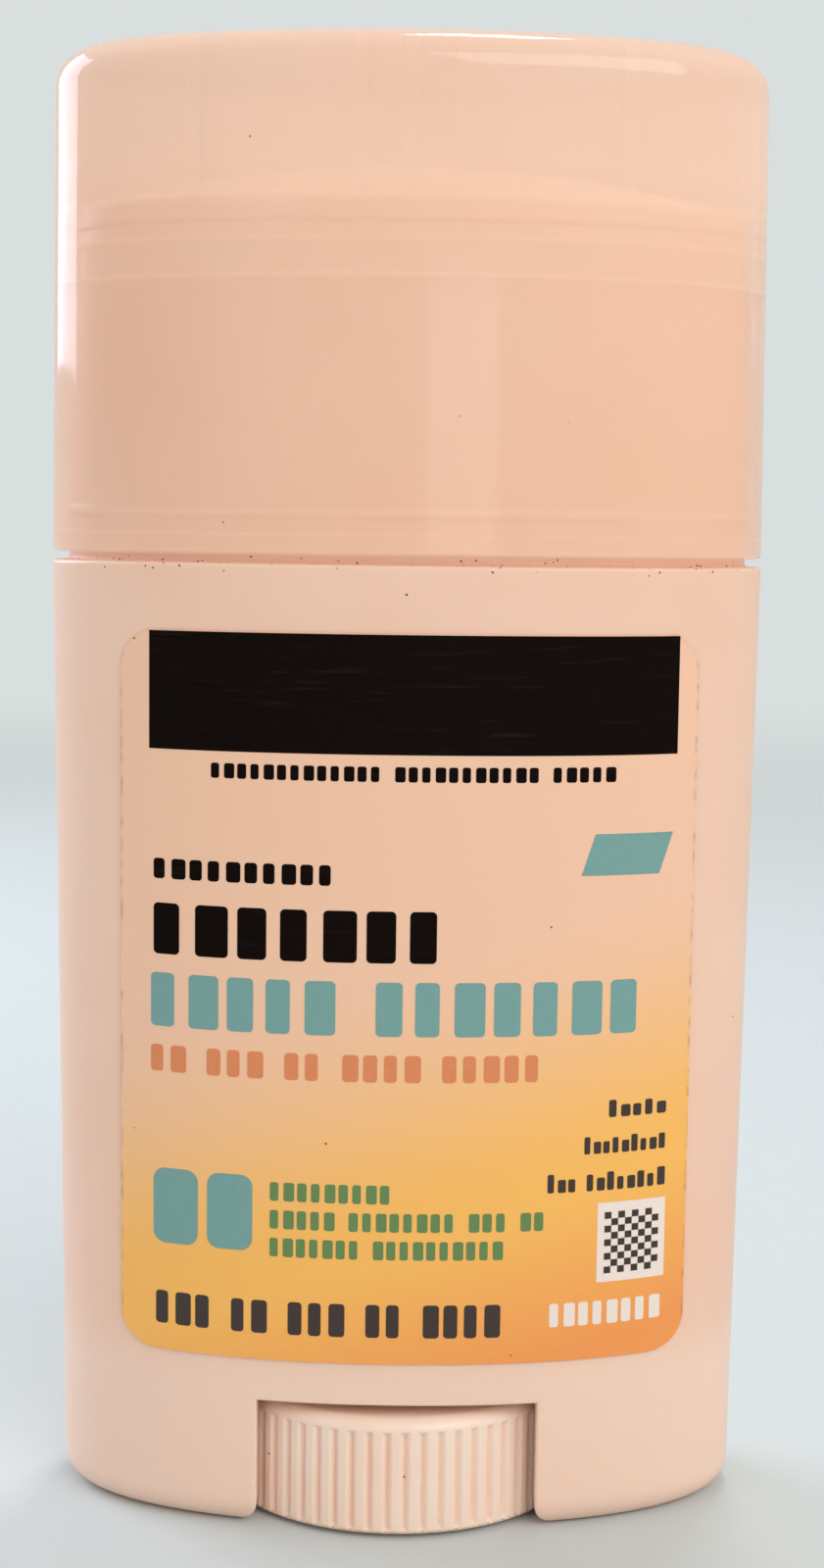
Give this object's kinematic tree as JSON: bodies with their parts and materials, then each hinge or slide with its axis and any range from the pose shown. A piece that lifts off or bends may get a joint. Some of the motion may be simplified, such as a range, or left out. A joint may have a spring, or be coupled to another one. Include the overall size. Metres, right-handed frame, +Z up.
{
  "type": "sunscreen stick",
  "caption": "Oval twist-up stick container with a pull-off translucent cap, a ribbed thumbwheel in its base, and a screw that raises and lowers a domed stick.",
  "frame": {"origin": "middle of the underside, on the thumbwheel's axis, level with the two feet", "axes": "+Z up along the thumbwheel's axis, +X along the width, -Y out of the front label"},
  "size_m": [0.054, 0.0276, 0.1107],
  "materials": {
    "cap": "translucent polypropylene, satin",
    "barrel": "white polypropylene, satin",
    "thumbwheel": "white polypropylene, satin",
    "screw_spindle": "natural white polypropylene, smooth",
    "elevator": "natural white polyethylene, satin",
    "sunscreen_stick": "white mineral wax, soft satin",
    "front_label": "printed film, gloss",
    "back_label": "printed film, gloss"
  },
  "bodies": {
    "container": {"barrel": "barrel", "front_label": "front_label", "back_label": "back_label"},
    "screw": {"thumbwheel": "thumbwheel", "screw_spindle": "screw_spindle"},
    "carrier": {"elevator": "elevator", "sunscreen_stick": "sunscreen_stick"},
    "cap": {"cap": "cap"}
  },
  "joints": [
    {"name": "wheel_turn", "type": "hinge", "parent": "container", "child": "screw", "pos_m": [0, 0, 0.0117], "axis": [0, 0, 1], "range_deg": [-1410, 626]},
    {"name": "stick_rise", "type": "slide", "parent": "container", "child": "carrier", "axis": [0, 0, 1], "range_m": [-0.0176, 0.0078]},
    {"name": "cap_pull", "type": "slide", "parent": "container", "child": "cap", "axis": [0, 0, 1], "range_m": [0, 0.05]}
  ],
  "couplings": [
    {"joint": "wheel_turn", "follows": "stick_rise", "rad_per_m": 1396.3}
  ]
}
